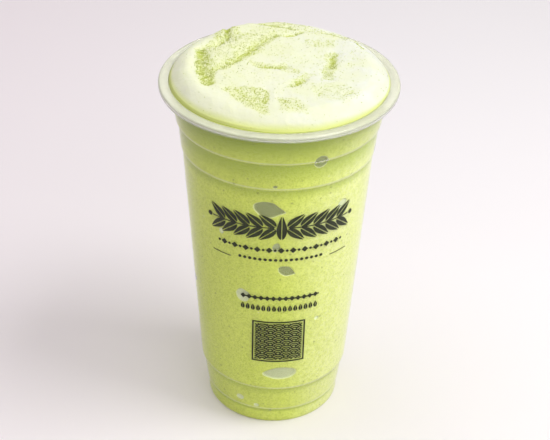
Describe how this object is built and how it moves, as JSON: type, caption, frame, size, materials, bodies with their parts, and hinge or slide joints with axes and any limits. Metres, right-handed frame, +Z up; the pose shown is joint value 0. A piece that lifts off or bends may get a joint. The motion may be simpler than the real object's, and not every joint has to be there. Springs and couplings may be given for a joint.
{
  "type": "matcha frappe in a takeaway cup",
  "caption": "Clear takeaway cup with ledges and a wide flat rim, filled to the brim with pale green matcha frappe and topped with a folded cap of milk foam dusted with green tea powder.",
  "frame": {"origin": "on the cup's axis, on the surface that the cup stands on", "axes": "+Z up along the cup's axis; -Y is the printed front; +X to the right as seen from the front"},
  "size_m": [0.098, 0.098, 0.1645],
  "materials": {
    "cup": "clear thin plastic, glossy",
    "drink": "blended green tea drink, smooth and slightly moist",
    "foam": "pale cream milk foam, soft, dusted with green powder"
  },
  "bodies": {
    "root": {"cup": "cup", "drink": "drink", "foam": "foam"}
  },
  "joints": []
}
